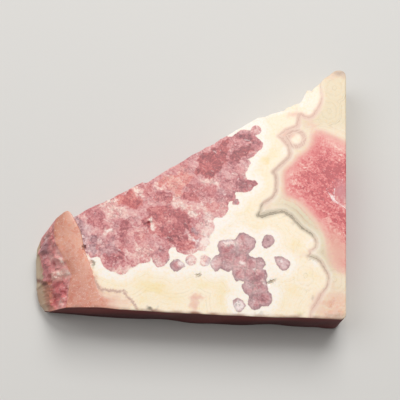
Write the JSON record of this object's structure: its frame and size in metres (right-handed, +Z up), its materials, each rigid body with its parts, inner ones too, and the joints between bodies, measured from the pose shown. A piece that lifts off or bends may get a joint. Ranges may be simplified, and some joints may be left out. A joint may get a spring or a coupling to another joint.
{
  "type": "rhodochrosite slice",
  "caption": "Three-cornered sawn slab of banded rose and cream stone with a flat face, a flat back, a sawn side, a fractured long side and a ridged broken nose.",
  "frame": {"origin": "centre of the bounding box in plan, on the plane of the sawn back that the slab lies on", "axes": "+X along the slab's longest extent, from the broken nose to the sawn side; +Y from the smooth front skin to the sharp corner; +Z up, out of the patterned sawn face"},
  "size_m": [0.0712, 0.062, 0.0112],
  "materials": {
    "rhodochrosite": "satin sawn stone, rose, cream and dusky pink, with a rough crystalline break"
  },
  "bodies": {
    "root": {"rhodochrosite_slice": "rhodochrosite"}
  },
  "joints": []
}
